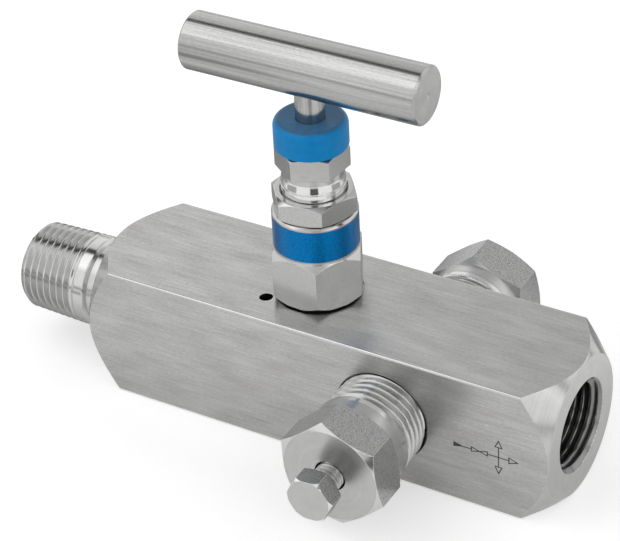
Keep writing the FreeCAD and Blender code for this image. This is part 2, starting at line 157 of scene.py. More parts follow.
# The edge of the table is a dark line on the horizon
off_edge = add(tree, "ShaderNodeMath", minus, {0: height.outputs["Z"], 1: 0.05})
edge_distance = add(tree, "ShaderNodeMath", size_only, {0: off_edge})
table_edge = add(tree, "ShaderNodeMapRange", smooth, {
    "Value": edge_distance, "From Min": 0.03, "From Max": 0.07, "To Min": 0.4, "To Max": 1.0})
# The dark camera, which shows only in steel that mirrors it
to_camera = add(tree, "ShaderNodeVectorMath", dot_product, {0: direction.outputs["Generated"], 1: back})
stand = add(tree, "ShaderNodeMapRange", smooth, {
    "Value": to_camera, "From Min": 0.975, "From Max": 0.99, "To Min": 1.0, "To Max": 0.1})
for dimming in (gap_overhead, shade, table_edge, stand):
    level = add(tree, "ShaderNodeMath", multiply, {0: level, 1: dimming})
room_light = add(tree, "ShaderNodeBackground", {}, {"Color": (1, 1, 1, 1), "Strength": level})
backdrop = add(tree, "ShaderNodeBackground", {}, {"Color": (1, 1, 1, 1), "Strength": 1.0})
ray = add(tree, "ShaderNodeLightPath")
either = add(tree, "ShaderNodeMixShader", {}, {
    0: ray.outputs["Is Camera Ray"], 1: room_light, 2: backdrop})
add(tree, "ShaderNodeOutputWorld", {}, {"Surface": either})

lit_spot = Vector((0, 0, 30)) * mm
for name, azimuth, elevation, distance, width, depth, radiance in (
    ("key soft box", -60, 58, 1.0, 0.75, 0.55, 0.78),
    ("side soft box", 80, 38, 1.1, 0.6, 0.5, 0.5),
):
    aside = math.radians(azimuth)
    above = math.radians(elevation)
    away = Vector((math.sin(aside) * math.cos(above), -math.cos(aside) * math.cos(above), math.sin(above)))
    lamp = bpy.data.lights.new(name, "AREA")
    lamp.shape = "RECTANGLE"
    lamp.size = width
    lamp.size_y = depth
    lamp.energy = radiance * math.pi * width * depth
    light = bpy.data.objects.new(name, lamp)
    light.location = away * distance + lit_spot
    light.rotation_mode = "QUATERNION"
    light.rotation_quaternion = away.to_track_quat("Z", "Y")
    bpy.context.scene.collection.objects.link(light)

# Matt white paper, mottled so faintly that it only takes the flatness off
paper_sweep, tree = new_material("white paper sweep")
place = add(tree, "ShaderNodeTexCoord")
mottle = add(tree, "ShaderNodeTexNoise", {}, {
    "Vector": place.outputs["Object"], "Scale": 3.0, "Detail": 1.0})
paper = add(tree, "ShaderNodeMix", colours, {
    0: mottle, 6: to_linear("#E6E6E6"), 7: to_linear("#E9E9E9")})
ray = add(tree, "ShaderNodeLightPath")
# Outside the picture the paper ends in a grey table, and the camera stand's foot is a dark strip on it.
# Only the metal sees them, and the painted shade on the paper.
toward = add(tree, "ShaderNodeVectorMath", dot_product, {
    0: place.outputs["Object"], 1: (math.sin(view_azimuth), -math.cos(view_azimuth), 0)})
beside = add(tree, "ShaderNodeVectorMath", dot_product, {
    0: place.outputs["Object"], 1: (math.cos(view_azimuth), math.sin(view_azimuth), 0)})
off_line = add(tree, "ShaderNodeMath", size_only, {0: beside})
off_angle = add(tree, "ShaderNodeMath", {"operation": "ARCTAN2"}, {0: off_line, 1: toward})
stand_foot = add(tree, "ShaderNodeMapRange", smooth, {
    "Value": off_angle, "From Min": 0.2, "From Max": 0.26, "To Min": 0.9, "To Max": 0.0})
distance = add(tree, "ShaderNodeVectorMath", vector_length, {0: place.outputs["Object"]})
far = add(tree, "ShaderNodeMapRange", smooth, {"Value": distance, "From Min": 0.13, "From Max": 0.15})
beyond = add(tree, "ShaderNodeMapRange", smooth, {
    "Value": distance, "From Min": 0.21, "From Max": 0.23, "To Min": 0.6, "To Max": 0.1})
to_side = add(tree, "ShaderNodeMath", minus, {0: off_angle, 1: 1.4})
off_side = add(tree, "ShaderNodeMath", size_only, {0: to_side})
table = add(tree, "ShaderNodeMapRange", smooth, {
    "Value": off_side, "From Min": 0.28, "From Max": 0.4, "To Min": beyond, "To Max": 0.0})
round_it = add(tree, "ShaderNodeMath", plus, {0: stand_foot, 1: table})
far_grey = add(tree, "ShaderNodeMath", multiply, {0: round_it, 1: far})
# Nearer, the paper turns grey behind the valve
behind_grey = add(tree, "ShaderNodeMapRange", smooth, {
    "Value": toward, "From Min": -0.045, "From Max": -0.005, "To Min": 0.65, "To Max": 0.0})
near = add(tree, "ShaderNodeMath", minus, {0: 1.0, 1: far})
near_grey = add(tree, "ShaderNodeMath", multiply, {0: behind_grey, 1: near})
# Painted shade: to the metal the paper is darker from just before the bar to just past its outlet end, as
# if in the valve's own shade
floor_spot = add(tree, "ShaderNodeSeparateXYZ", {}, {"Vector": place.outputs["Object"]})
past_end = add(tree, "ShaderNodeMapRange", smooth, {
    "Value": floor_spot.outputs["X"], "From Min": 0.072, "From Max": 0.08, "To Min": 0.15, "To Max": 0.0})
painted_own_shade = add(tree, "ShaderNodeMapRange", smooth, {
    "Value": floor_spot.outputs["Y"], "From Min": -0.034, "From Max": -0.022, "To Min": 0.0,
    "To Max": past_end})
near_dark = add(tree, "ShaderNodeMath", larger, {0: near_grey, 1: painted_own_shade})
grey = add(tree, "ShaderNodeMath", larger, {0: far_grey, 1: near_dark})
grey_seen = add(tree, "ShaderNodeMath", multiply, {0: grey, 1: ray.outputs["Is Glossy Ray"]})
bare = add(tree, "ShaderNodeMath", minus, {0: 1.0, 1: grey_seen})
shown_paper = add(tree, "ShaderNodeMix", colours, {0: bare, 6: to_linear("#181818"), 7: paper})
matt = add(tree, "ShaderNodeBsdfDiffuse", {}, {"Color": shown_paper})
# To the camera and in the metal the paper glows a little, and so it is white without more light
to_eye = add(tree, "ShaderNodeMath", multiply, {0: ray.outputs["Is Camera Ray"], 1: 0.42})
glossy_glow = add(tree, "ShaderNodeMath", multiply, {0: ray.outputs["Is Glossy Ray"], 1: 0.25})
to_metal = add(tree, "ShaderNodeMath", multiply, {0: glossy_glow, 1: bare})
shown = add(tree, "ShaderNodeMath", plus, {0: to_eye, 1: to_metal})
glow = add(tree, "ShaderNodeEmission", {}, {"Color": (1, 1, 1, 1), "Strength": shown})
both = add(tree, "ShaderNodeAddShader", {}, {0: matt, 1: glow})
add(tree, "ShaderNodeOutputMaterial", {}, {"Surface": both})

floor_half = 6.0            # in metres, past the edge of every view
floor_drop = 0.1 * mm       # keeps it clear of the bar's underside
floor_mesh = bpy.data.meshes.new("floor")
floor_corners = [
    (x * floor_half, y * floor_half, -floor_drop) for x, y in ((-1, -1), (1, -1), (1, 1), (-1, 1))]
floor_mesh.from_pydata(floor_corners, [], [(0, 1, 2, 3)])
new_piece("floor", floor_mesh, paper_sweep)


# Valve body
# A length of 32 mm square stainless bar, belt-brushed along its flats, with both ends turned down
# at 45 degrees. A taper pipe thread is cut on the inlet stub and another inside the outlet port.

bar_size = 32.0
axis_z = bar_size / 2
stub_tip = -75.1
stub_root = -51.0
outlet_face = 62.8
port_wall = 11.2            # what lies nearer to the bar's axis is inside it
pin_hole = Vector((-8.6, -8.1)) * mm
pin_hole_reach = 2.6        # the sloping hole lies within this of its middle
pipe_pitch = 1.814          # half-inch taper pipe thread, 14 turns to the inch
pipe_taper = 1 / 32
cross_product = {"operation": "CROSS_PRODUCT"}
multiply_add = {"operation": "MULTIPLY_ADD"}
smaller = {"operation": "MINIMUM"}
more_than = {"operation": "GREATER_THAN"}


def brushed_steel(name, centre, turn, dark, light, rough, length, relief, spread=0.5, fine=0.5):
    """Brushed 316 stainless with its lines along the piece's own X, and the length of the longest in mm.

    Spread is how far the lines smear a reflection across them, and fine the share of the shorter marks.
    """
    material, tree = new_material(name)
    place = add(tree, "ShaderNodeTexCoord")
    own_place = add(tree, "ShaderNodeMapping", {"vector_type": "TEXTURE"}, {
        "Vector": place.outputs["Object"], "Location": Vector(centre) * mm, "Rotation": turn})
    # Marks 0.9 mm long lie over the long lines, both about a third of a millimetre apart, which is
    # coarser than real brushing so that they show. Clouds 4 mm wide lie under both.
    mark_place = add(tree, "ShaderNodeMapping", {}, {
        "Vector": own_place, "Scale": Vector((1.1, 4.0, 4.0)) / mm})
    marks = add(tree, "ShaderNodeTexNoise", {}, {
        "Vector": mark_place, "Scale": 1.0, "Detail": 2.0, "Roughness": 0.6})
    line_place = add(tree, "ShaderNodeMapping", {}, {
        "Vector": own_place, "Scale": Vector((1 / length, 2.6, 2.6)) / mm})
    long_lines = add(tree, "ShaderNodeTexNoise", {}, {
        "Vector": line_place, "Scale": 1.0, "Detail": 3.0, "Roughness": 0.6})
    cloud_place = add(tree, "ShaderNodeMapping", {}, {
        "Vector": own_place, "Scale": Vector((0.6 / length, 0.26, 0.26)) / mm})
    cloud = add(tree, "ShaderNodeTexNoise", {}, {"Vector": cloud_place, "Scale": 1.0, "Detail": 2.0})
    lines = add(tree, "ShaderNodeMix", {}, {0: fine, 2: long_lines, 3: marks})
    tone = add(tree, "ShaderNodeMix", {}, {0: 0.3, 2: lines, 3: cloud})
    contrast = add(tree, "ShaderNodeMapRange", {}, {"Value": tone, "From Min": 0.36, "From Max": 0.64})
    colour = add(tree, "ShaderNodeMix", colours, {0: contrast, 6: to_linear(dark), 7: to_linear(light)})
    roughness = add(tree, "ShaderNodeMapRange", {}, {
        "Value": lines, "From Min": 0.35, "From Max": 0.65, "To Min": rough + 0.06, "To Max": rough - 0.05})
    bump = add(tree, "ShaderNodeBump", {}, {"Strength": relief, "Distance": 0.03 * mm, "Height": lines})
    surface = add(tree, "ShaderNodeNewGeometry")
    along_lines = Euler(turn).to_matrix() @ Vector((1, 0, 0))
    across_lines = add(tree, "ShaderNodeVectorMath", cross_product, {
        0: surface.outputs["Normal"], 1: along_lines})
    steel = add(tree, "ShaderNodeBsdfPrincipled", {}, {
        "Base Color": colour, "Metallic": 1.0, "Roughness": roughness,
        "Anisotropic": spread, "Tangent": across_lines, "Normal": bump})
    add(tree, "ShaderNodeOutputMaterial", {}, {"Surface": steel})
    return material


def turned_steel(name, centre, axis, dark, light, rough):
    """Turned 316 stainless with its tool marks round an axis."""
    material, tree = new_material(name)
    place = add(tree, "ShaderNodeTexCoord")
    own_place = add(tree, "ShaderNodeMapping", {"vector_type": "TEXTURE"}, {
        "Vector": place.outputs["Object"], "Location": Vector(centre) * mm})
    height = add(tree, "ShaderNodeVectorMath", dot_product, {0: own_place, 1: axis})
    around = add(tree, "ShaderNodeVectorMath", cross_product, {0: axis, 1: own_place})
    radius = add(tree, "ShaderNodeVectorMath", vector_length, {0: around})
    ring_place = add(tree, "ShaderNodeCombineXYZ", {}, {"X": radius, "Y": height})
    # Tool marks a quarter of a millimetre apart, a little coarser than real ones so that they show,
    # under a faint handling haze
    rings = add(tree, "ShaderNodeTexNoise", {}, {
        "Vector": ring_place, "Scale": 4.2 / mm, "Detail": 1.0, "Roughness": 0.5})
    haze = add(tree, "ShaderNodeTexNoise", {}, {
        "Vector": own_place, "Scale": 0.35 / mm, "Detail": 5.0, "Roughness": 0.6})
    lines = add(tree, "ShaderNodeMix", {}, {0: 0.5, 2: rings, 3: haze})
    contrast = add(tree, "ShaderNodeMapRange", {}, {"Value": lines, "From Min": 0.3, "From Max": 0.7})
    colour = add(tree, "ShaderNodeMix", colours, {0: contrast, 6: to_linear(dark), 7: to_linear(light)})
    roughness = add(tree, "ShaderNodeMapRange", {}, {
        "Value": haze, "From Min": 0.3, "From Max": 0.7, "To Min": rough + 0.03, "To Max": rough - 0.02})
    bump = add(tree, "ShaderNodeBump", {}, {"Strength": 0.15, "Distance": 0.01 * mm, "Height": rings})
    surface = add(tree, "ShaderNodeNewGeometry")
    across_rings = add(tree, "ShaderNodeVectorMath", cross_product, {
        0: surface.outputs["Normal"], 1: around})
    steel = add(tree, "ShaderNodeBsdfPrincipled", {}, {
        "Base Color": colour, "Metallic": 1.0, "Roughness": roughness,
        "Anisotropic": 0.65, "Tangent": across_rings, "Normal": bump})
    add(tree, "ShaderNodeOutputMaterial", {}, {"Surface": steel})
    return material


def cad_mesh(node):
    """A copy of a CAD node's mesh as a bmesh, with its flat faces whole."""
    work = bmesh.new()
    work.from_mesh(nodes[node].data)
    bmesh.ops.remove_doubles(work, verts=work.verts, dist=1e-7)
    bmesh.ops.dissolve_limit(work, angle_limit=math.radians(0.2), verts=work.verts, edges=work.edges)
    return work


def break_edges(work, size):
    """Rounds off every sharp edge by a size in mm, as filing does, so that it catches the light."""
    sharp = [e for e in work.edges if e.calc_face_angle(0) > math.radians(28)]
    bmesh.ops.bevel(
        work, geom=sharp, offset=size * mm, offset_type="OFFSET", segments=2, profile=0.5, affect="EDGES")


def finish_mesh(work, name, crease=18):
    """Turns a bmesh into a mesh whose shading joins only faces within `crease` degrees of each other."""
    work.normal_update()
    limit = math.cos(math.radians(crease))
    sizes = {face: face.calc_area() for face in work.faces}
    shading = []
    for face in work.faces:
        for vert in face.verts:
            near = [other for other in vert.link_faces if other.normal.dot(face.normal) > limit]
            total = sum((other.normal * sizes[other] for other in near), Vector())
            shading.append(total.normalized() if total.length > 0 else face.normal.copy())
    mesh = bpy.data.meshes.new(name)
    work.to_mesh(mesh)
    work.free()
    mesh.shade_smooth()
    mesh.normals_split_custom_set(shading)
    return mesh


def pull_in(work, along, low, high, inside, outside, radius):
    """Moves a round wall to a radius: what lies between two heights on an axis and between two radii."""
    back_again = along.inverted()
    for v in work.verts:
        p = back_again @ v.co
        reach = math.hypot(p.x, p.y)
        if low * mm <= p.z <= high * mm and inside * mm < reach < outside * mm:
            v.co = along @ Vector((p.x * radius * mm / reach, p.y * radius * mm / reach, p.z))


def screw_thread_tree():
    """Geometry nodes for a turned screw thread on Z: a closed sleeve whose wall follows the helix.

    The rows of a grid are laid along the helix, so each crest is one clean edge. Side is 1 for a thread
    on a rod and -1 for one in a hole. From Plain From on the rod is plain, and a Plain From past the
    end leaves the run-out away. The first row and the last two close the sleeve.
    """
    tree = bpy.data.node_groups.new("screw thread", "GeometryNodeTree")
    for name, kind in (
        ("Crest", "Float"), ("Depth", "Float"), ("Pitch", "Float"), ("Length", "Float"), ("Taper", "Float"),
        ("Start Radius", "Float"), ("End Radius", "Float"), ("Largest Radius", "Float"),
        ("Core Radius", "Float"), ("Plain From", "Float"), ("Run-out", "Float"), ("Side", "Float"),
        ("Turns", "Int"), ("Rows per Turn", "Int"), ("Around", "Int"), ("Material", "Material"),
    ):
        tree.interface.new_socket(name, in_out="INPUT", socket_type="NodeSocket" + kind)
    tree.interface.new_socket("Thread", in_out="OUTPUT", socket_type="NodeSocketGeometry")
    given = add(tree, "NodeGroupInput").outputs

    rows = add(tree, "ShaderNodeMath", multiply_add, {
        0: given["Turns"], 1: given["Rows per Turn"], 2: 4.0})
    columns = add(tree, "ShaderNodeMath", plus, {0: given["Around"], 1: 1.0})
    grid = add(tree, "GeometryNodeMeshGrid", {}, {
        "Size X": 1.0, "Size Y": 1.0, "Vertices X": rows, "Vertices Y": columns})
    spot = add(tree, "GeometryNodeInputPosition")
    across = add(tree, "ShaderNodeSeparateXYZ", {}, {0: spot})
    last = add(tree, "ShaderNodeMath", minus, {0: rows, 1: 1.0})
    u = add(tree, "ShaderNodeMath", plus, {0: across.outputs["X"], 1: 0.5})
    v = add(tree, "ShaderNodeMath", plus, {0: across.outputs["Y"], 1: 0.5})
    row_raw = add(tree, "ShaderNodeMath", multiply, {0: u, 1: last})
    row = add(tree, "ShaderNodeMath", {"operation": "ROUND"}, {0: row_raw})
    step = add(tree, "ShaderNodeMath", minus, {0: row, 1: 1.0})
    turns_in = add(tree, "ShaderNodeMath", {"operation": "DIVIDE"}, {0: step, 1: given["Rows per Turn"]})

    # Height along the helix, from one pitch before the start
    with_angle = add(tree, "ShaderNodeMath", plus, {0: turns_in, 1: v})
    from_start = add(tree, "ShaderNodeMath", minus, {0: with_angle, 1: 1.0})
    free_height = add(tree, "ShaderNodeMath", multiply, {0: from_start, 1: given["Pitch"]})
    above_start = add(tree, "ShaderNodeMath", larger, {0: free_height, 1: 0.0})
    height = add(tree, "ShaderNodeMath", smaller, {0: above_start, 1: given["Length"]})

    # Sixty degree flanks with narrow flats on crest and root
    wave = add(tree, "ShaderNodeMath", {"operation": "PINGPONG"}, {0: turns_in, 1: 0.5})
    flank = add(tree, "ShaderNodeMapRange", {"clamp": True}, {
        "Value": wave, "From Min": 0.06, "From Max": 0.42, "To Min": 1.0, "To Max": 0.0})
    fade_start = add(tree, "ShaderNodeMath", minus, {0: given["Plain From"], 1: given["Run-out"]})
    fade = add(tree, "ShaderNodeMapRange", smooth, {
        "Value": height, "From Min": fade_start, "From Max": given["Plain From"],
        "To Min": 1.0, "To Max": 0.0})
    cut = add(tree, "ShaderNodeMath", multiply, {0: flank, 1: given["Depth"]})
    faded = add(tree, "ShaderNodeMath", multiply, {0: cut, 1: fade})
    signed = add(tree, "ShaderNodeMath", multiply, {0: faded, 1: given["Side"]})
    crest = add(tree, "ShaderNodeMath", multiply_add, {0: height, 1: given["Taper"], 2: given["Crest"]})
    wall = add(tree, "ShaderNodeMath", minus, {0: crest, 1: signed})

    # Chamfers at both ends and the largest size, taken on the metal's side of the wall
    metal = add(tree, "ShaderNodeMath", multiply, {0: wall, 1: given["Side"]})
    start_cone = add(tree, "ShaderNodeMath", multiply_add, {
        0: given["Start Radius"], 1: given["Side"], 2: height})
    to_end = add(tree, "ShaderNodeMath", minus, {0: given["Length"], 1: height})
    end_cone = add(tree, "ShaderNodeMath", multiply_add, {
        0: given["End Radius"], 1: given["Side"], 2: to_end})
    largest = add(tree, "ShaderNodeMath", multiply, {0: given["Largest Radius"], 1: given["Side"]})
    for limit in (start_cone, end_cone, largest):
        metal = add(tree, "ShaderNodeMath", smaller, {0: metal, 1: limit})
    threaded = add(tree, "ShaderNodeMath", multiply, {0: metal, 1: given["Side"]})

    # The first row and the last two run round the hidden core and close the sleeve
    is_first = add(tree, "ShaderNodeMath", {"operation": "LESS_THAN"}, {0: row, 1: 0.5})
    before_last = add(tree, "ShaderNodeMath", minus, {0: last, 1: 1.5})
    is_back = add(tree, "ShaderNodeMath", more_than, {0: row, 1: before_last})
    final = add(tree, "ShaderNodeMath", minus, {0: last, 1: 0.5})
    is_last = add(tree, "ShaderNodeMath", more_than, {0: row, 1: final})
    on_core = add(tree, "ShaderNodeMath", larger, {0: is_first, 1: is_back})
    at_start = add(tree, "ShaderNodeMath", larger, {0: is_first, 1: is_last})
    radius = add(tree, "ShaderNodeMix", {}, {0: on_core, 2: threaded, 3: given["Core Radius"]})
    end_height = add(tree, "ShaderNodeMix", {}, {0: on_core, 2: height, 3: given["Length"]})
    sub_height = add(tree, "ShaderNodeMix", {}, {0: at_start, 2: end_height, 3: 0.0})

    angle = add(tree, "ShaderNodeMath", multiply, {0: v, 1: 2 * math.pi})
    cosine = add(tree, "ShaderNodeMath", {"operation": "COSINE"}, {0: angle})
    sine = add(tree, "ShaderNodeMath", {"operation": "SINE"}, {0: angle})
    x = add(tree, "ShaderNodeMath", multiply, {0: radius, 1: cosine})
    y = add(tree, "ShaderNodeMath", multiply, {0: radius, 1: sine})
    point = add(tree, "ShaderNodeCombineXYZ", {}, {"X": x, "Y": y, "Z": sub_height})
    rolled = add(tree, "GeometryNodeSetPosition", {}, {"Geometry": grid, "Position": point})
    welded = add(tree, "GeometryNodeMergeByDistance", {}, {"Geometry": rolled, "Distance": 1e-6})
    real = add(tree, "GeometryNodeRealizeInstances", {}, {"Geometry": welded})
    painted = add(tree, "GeometryNodeSetMaterial", {}, {"Geometry": real, "Material": given["Material"]})
    add(tree, "NodeGroupOutput", {}, {"Thread": painted})
    return tree


def cut_thread(name, along, material, body, sizes, turns, around=120, rows=10):
    """Runs the thread tree with sizes in mm, and lays the thread along an axis as a piece of a body."""
    carrier = bpy.data.objects.new(name, bpy.data.meshes.new(name))
    bpy.context.scene.collection.objects.link(carrier)
    modifier = carrier.modifiers.new("thread", "NODES")
    modifier.node_group = thread_tree
    inputs = [item for item in thread_tree.interface.items_tree if item.in_out == "INPUT"]
    socket = {item.name: item.identifier for item in inputs}
    for key, value in sizes.items():
        modifier[socket[key]] = float(value if key in ("Taper", "Side") else value * mm)
    modifier[socket["Turns"]] = turns
    modifier[socket["Rows per Turn"]] = rows
    modifier[socket["Around"]] = around
    modifier[socket["Material"]] = material
    evaluated = carrier.evaluated_get(bpy.context.evaluated_depsgraph_get())
    mesh = bpy.data.meshes.new_from_object(evaluated)
    carrier.modifiers.remove(modifier)
    bpy.data.objects.remove(carrier)
    work = bmesh.new()
    work.from_mesh(mesh)
    bmesh.ops.remove_doubles(work, verts=work.verts, dist=1e-6)
    bmesh.ops.dissolve_degenerate(work, edges=work.edges, dist=1e-6)
    bmesh.ops.recalc_face_normals(work, faces=work.faces)
    bmesh.ops.transform(work, matrix=along, verts=work.verts)
    piece = new_piece(name, finish_mesh(work, name, crease=35), material)
    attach(piece, body)


def laid_along(direction, origin, ahead=0):
    """The matrix that lays a piece made on Z along a direction, from an origin or ahead of it in mm."""
    turned = Vector(direction).to_track_quat("Z", "Y").to_matrix().to_4x4()
    return Matrix.Translation(Vector(origin) * mm) @ turned @ Matrix.Translation((0, 0, ahead * mm))


# Belt-brushed: satin, with reflections smeared across the short lines along the bar
bar_steel = brushed_steel(
    "brushed stainless bar", (0, 0, axis_z), (0, 0, 0), "#ACABAA", "#CDCDCC",
    rough=0.32, length=8, relief=0.35)
# Turned: brighter, with reflections drawn out across the rings
end_steel = turned_steel(
    "turned stainless ends", (0, 0, axis_z), (1, 0, 0), "#C0BFBE", "#CECECD", rough=0.2)
# Cut with a sharp tool; the flanks are coloured brighter still, which is partly painted light
thread_steel = turned_steel(
    "cut thread of the inlet", (0, 0, axis_z), (1, 0, 0), "#C8C8C7", "#D4D4D3", rough=0.17)
# Left as drilled and tapped, and coloured darker as painted shade, so that the ports look dark inside
bore_steel_painted_shade = turned_steel(
    "stainless inside the ports, painted shade", (0, 0, axis_z), (1, 0, 0), "#848483", "#989897", rough=0.22)
thread_tree = screw_thread_tree()

inlet_axis = laid_along((1, 0, 0), (stub_tip, 0, axis_z))
work = cad_mesh("valve_body")
pull_in(work, inlet_axis, low=-0.01, high=18.12, inside=9.5, outside=10.5, radius=8.5)
break_edges(work, 0.035)
mesh = finish_mesh(work, "bar")
brushed, turned, bored, unlit = range(4)
for face in mesh.polygons:
    middle = face.center - Vector((0, 0, axis_z * mm))
    on_flat = abs(face.normal.dot(middle) - bar_size / 2 * mm) < 0.03 * mm and abs(face.normal.x) < 0.02
    on_stub = middle.x < stub_root * mm
    on_end = middle.x > (outlet_face - 0.1) * mm
    # The sloping wall of the lock pin's hole is painted near-black as shade
    if (middle.xy - pin_hole).length < pin_hole_reach * mm and face.normal.z < 0.55:
        face.material_index = unlit
    elif on_flat:
        face.material_index = brushed
    elif on_stub or on_end or math.hypot(middle.y, middle.z) > port_wall * mm:
        face.material_index = turned
    else:
        face.material_index = bored

# Painted shade: a near-black, faintly mottled colour for the lock pin's deep hole, where hardly any light
# comes back
painted_shade_dark, tree = new_material("painted shade, near-black")
place = add(tree, "ShaderNodeTexCoord")
shade_mottle = add(tree, "ShaderNodeTexNoise", {}, {"Vector": place.outputs["Object"], "Scale": 1.5 / mm})
colour = add(tree, "ShaderNodeMix", colours, {0: shade_mottle, 6: to_linear("#0C0C0C"), 7: to_linear("#1A1A1A")})
hole = add(tree, "ShaderNodeBsdfPrincipled", {}, {
    "Base Color": colour, "Roughness": 0.8, "Specular IOR Level": 0.1})
add(tree, "ShaderNodeOutputMaterial", {}, {"Surface": hole})
bar = new_piece("bar", mesh, bar_steel, end_steel, bore_steel_painted_shade, painted_shade_dark)
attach(bar, "body")
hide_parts("valve_body")

inlet_start = laid_along((1, 0, 0), (stub_tip, 0, axis_z), ahead=0.02)
cut_thread("inlet_thread", inlet_start, thread_steel, "body", {
    "Crest": 10.05, "Depth": 1.35, "Pitch": pipe_pitch, "Length": 18.73, "Taper": pipe_taper,
    "Start Radius": 8.68, "End Radius": 9.75, "Largest Radius": 10.5, "Core Radius": 8.0,
    "Plain From": 15.8, "Run-out": 2.4, "Side": 1}, turns=12)

outlet_start = laid_along((-1, 0, 0), (outlet_face, 0, axis_z), ahead=0.2)
cut_thread("outlet_thread", outlet_start, bore_steel_painted_shade, "body", {
    "Crest": 9.2, "Depth": 1.29, "Pitch": pipe_pitch, "Length": 16.8, "Taper": -pipe_taper,
    "Start Radius": 10.5, "End Radius": 9.0, "Largest Radius": 8.0, "Core Radius": 11.2,
    "Plain From": 40, "Run-out": 1, "Side": -1}, turns=11)


# Flow marks
# A flow diagram is laser-marked on the front face beside the outlet: a line with arrowheads, a valve
# sign and a cross line with an arrowhead at each end. The marks are annealed dark, not engraved.

mark_width = 0.24
mark_level = 14.85
mark_proud = 0.012
mark_sunk = 0.1


def mark_plates(outlines, fills):
    """Thin closed plates in the front face from (x, z) points in mm, with z from the flow line.

    Outlines are drawn as strokes, and fills are whole.
    """
    work = bmesh.new()

    def plate(corners):
        """One closed plate from its corners."""
        rings = [
            [work.verts.new(Vector((x, y - bar_size / 2, z + mark_level)) * mm) for x, z in corners]
            for y in (-mark_proud, mark_sunk)]
        work.faces.new(rings[0])
        work.faces.new(list(reversed(rings[1])))
        for i in range(len(corners)):
            j = (i + 1) % len(corners)
            work.faces.new((rings[0][j], rings[0][i], rings[1][i], rings[1][j]))

    for outline in outlines:
        for (ax, az), (bx, bz) in zip(outline, outline[1:]):
            share = mark_width / 2 / math.hypot(bx - ax, bz - az)
            ex, ez = (bx - ax) * share, (bz - az) * share
            plate([(ax - ex + ez, az - ez - ex), (bx + ex + ez, bz + ez - ex),
                   (bx + ex - ez, bz + ez + ex), (ax - ex - ez, az - ez + ex)])
    for corners in fills:
        plate(corners)
    bmesh.ops.recalc_face_normals(work, faces=work.faces)
    return work


# Annealed steel: a dull dark oxide, uneven along the brushed lines
mark_steel, tree = new_material("laser-annealed mark")
place = add(tree, "ShaderNodeTexCoord")
stretch = add(tree, "ShaderNodeMapping", {}, {
    "Vector": place.outputs["Object"], "Scale": Vector((1.2, 4.0, 4.0)) / mm})
speckle = add(tree, "ShaderNodeTexNoise", {}, {"Vector": stretch, "Scale": 1.0, "Detail": 2.0})
colour = add(tree, "ShaderNodeMix", colours, {
    0: speckle, 6: to_linear("#3C3C3C"), 7: to_linear("#5E5E5D")})
mark = add(tree, "ShaderNodeBsdfPrincipled", {}, {
    "Base Color": colour, "Metallic": 0.6, "Roughness": 0.6})
add(tree, "ShaderNodeOutputMaterial", {}, {"Surface": mark})

flow_lines = [[(43.2, 0), (45.0, 0)], [(48.7, 0), (53.7, 0)], [(51.3, 2.6), (51.3, -2.6)]]
valve_sign = [(45.0, -0.55), (45.0, 0.55), (48.7, -0.55), (48.7, 0.55), (45.0, -0.55)]
up_arrow = [(50.5, 2.6), (51.3, 4.3), (52.1, 2.6), (50.5, 2.6)]
down_arrow = [(x, -z) for x, z in up_arrow]
outlet_arrow = [(53.7, -0.75), (55.7, 0), (53.7, 0.75), (53.7, -0.75)]
inlet_arrow = [(40.75, -0.66), (43.35, 0), (40.75, 0.66)]
work = mark_plates([*flow_lines, valve_sign, up_arrow, down_arrow, outlet_arrow], [inlet_arrow])
flow_marks = new_piece("flow_marks", finish_mesh(work, "flow_marks"), mark_steel)
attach(flow_marks, "body")


# Bonnet
# A hexagon bar part turned to a collar at the top and screwed down on the bar's spot face.
# The flats keep the drawn bar's fine grain, and the turned parts show rings.


def drawn_steel(name, dark, light, rough, size, pit_shading):
    """The speckled skin of cold-drawn hexagon bar, with grains and pits of a size in mm, the pits painted
    dark as the shade in them.

    The real grains are finer, and wouldn't show.
    """
    material, tree = new_material(name)
    place = add(tree, "ShaderNodeTexCoord")
    grain = 1 / (size * mm)
    in_grains = add(tree, "ShaderNodeMapping", {}, {
        "Vector": place.outputs["Object"], "Scale": (grain, grain, grain)})
    speckle = add(tree, "ShaderNodeTexNoise", {}, {
        "Vector": in_grains, "Scale": 1.0, "Detail": 3.0, "Roughness": 0.7})
    pit_noise = add(tree, "ShaderNodeTexNoise", {}, {"Vector": in_grains, "Scale": 1.3, "Detail": 1.0})
    # Painted shade: the pits are darkened towards a dark grey, as the shade in them
    pits = add(tree, "ShaderNodeMapRange", smooth, {
        "Value": pit_noise, "From Min": 0.55, "From Max": 0.62, "To Min": 0.0, "To Max": pit_shading})
    contrast = add(tree, "ShaderNodeMapRange", {}, {"Value": speckle, "From Min": 0.32, "From Max": 0.68})
    skin = add(tree, "ShaderNodeMix", colours, {0: contrast, 6: to_linear(dark), 7: to_linear(light)})
    colour = add(tree, "ShaderNodeMix", colours, {0: pits, 6: skin, 7: to_linear("#484848")})
    bump = add(tree, "ShaderNodeBump", {}, {"Strength": 0.15, "Distance": 0.02 * mm, "Height": speckle})
    steel = add(tree, "ShaderNodeBsdfPrincipled", {}, {
        "Base Color": colour, "Metallic": 1.0, "Roughness": rough, "Normal": bump})
    add(tree, "ShaderNodeOutputMaterial", {}, {"Surface": steel})
    return material


def mark_flats(mesh, along, across):
    """Gives a hexagon's six flats, which are a size in mm across, the piece's second material."""
    back_again = along.inverted()
    for face in mesh.polygons:
        normal = back_again.to_3x3() @ face.normal
        out = normal.dot(back_again @ face.center)
        if abs(normal.z) < 0.02 and abs(out - across / 2 * mm) < 0.03 * mm:
            face.material_index = 1


def turn_back(work, along, top, start, slope):
    """Turns the corners of a hexagon's end back at a slope, from a radius on its face outwards."""
    back_again = along.inverted()
    for v in work.verts:
        p = back_again @ v.co
        reach = math.hypot(p.x, p.y)
        if reach > (start + 0.01) * mm and p.z > (top - 0.5) * mm:
            v.co = along @ Vector((p.x, p.y, top * mm - (reach - start * mm) * slope))


